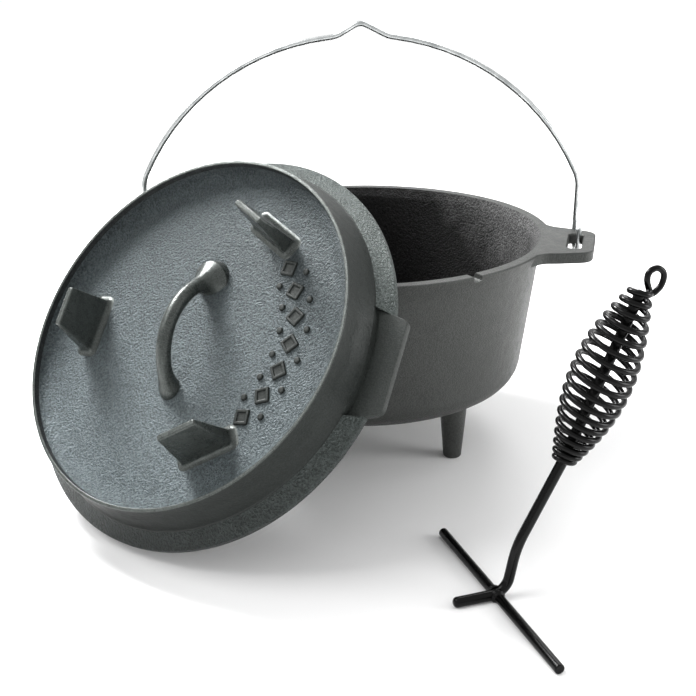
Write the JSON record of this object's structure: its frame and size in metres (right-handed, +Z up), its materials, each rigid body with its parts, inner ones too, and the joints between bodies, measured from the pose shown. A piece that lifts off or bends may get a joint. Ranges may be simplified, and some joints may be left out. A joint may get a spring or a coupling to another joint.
{
  "type": "camp dutch oven",
  "caption": "Round cast iron pot on three legs with a wire bail, a flanged lid with loop handle and feet, and a wire-grip lid lifter.",
  "frame": {"origin": "on the ground under the middle of the pot", "axes": "+Z up, X along the axis the bail turns on, the right ear on the +X side, the leaning lid on the -X -Y side"},
  "size_m": [0.4489, 0.4967, 0.3359],
  "materials": {
    "pot_iron": "seasoned cast iron, satin, fine sand grain",
    "lid_iron": "seasoned cast iron, satin, fine sand grain",
    "bail_wire": "bright galvanised wire",
    "lifter_black": "gloss black enamel"
  },
  "bodies": {
    "pot": {"pot_bowl": "pot_iron", "pot_ear_right": "pot_iron", "pot_ear_left": "pot_iron", "pot_leg_right": "pot_iron", "pot_leg_back": "pot_iron", "pot_leg_left": "pot_iron"},
    "bail": {"bail_wire": "bail_wire"},
    "lid": {"lid_dish": "lid_iron", "lid_handle": "lid_iron", "lid_ornament": "lid_iron", "lid_foot_upper": "lid_iron", "lid_foot_left": "lid_iron", "lid_foot_right": "lid_iron"},
    "lifter": {"lifter_rod": "lifter_black", "lifter_crossbar_near": "lifter_black", "lifter_crossbar_far": "lifter_black", "lifter_weld_near": "lifter_black", "lifter_weld_far": "lifter_black", "lifter_grip_coil": "lifter_black", "lifter_hanging_eye": "lifter_black"}
  },
  "joints": [
    {"name": "bail_swing", "type": "hinge", "parent": "pot", "child": "bail", "pos_m": [0, 0, 0.16875], "axis": [1, 0, 0], "range_deg": [-90, 20]},
    {"name": "lid_lift_off", "type": "slide", "parent": "pot", "child": "lid", "axis": [-0.4256, -0.629, 0.6506], "range_m": [0, 0.2]},
    {"name": "lifter_pick_up", "type": "slide", "parent": "pot", "child": "lifter", "axis": [0, 0, 1], "range_m": [0, 0.3]}
  ]
}
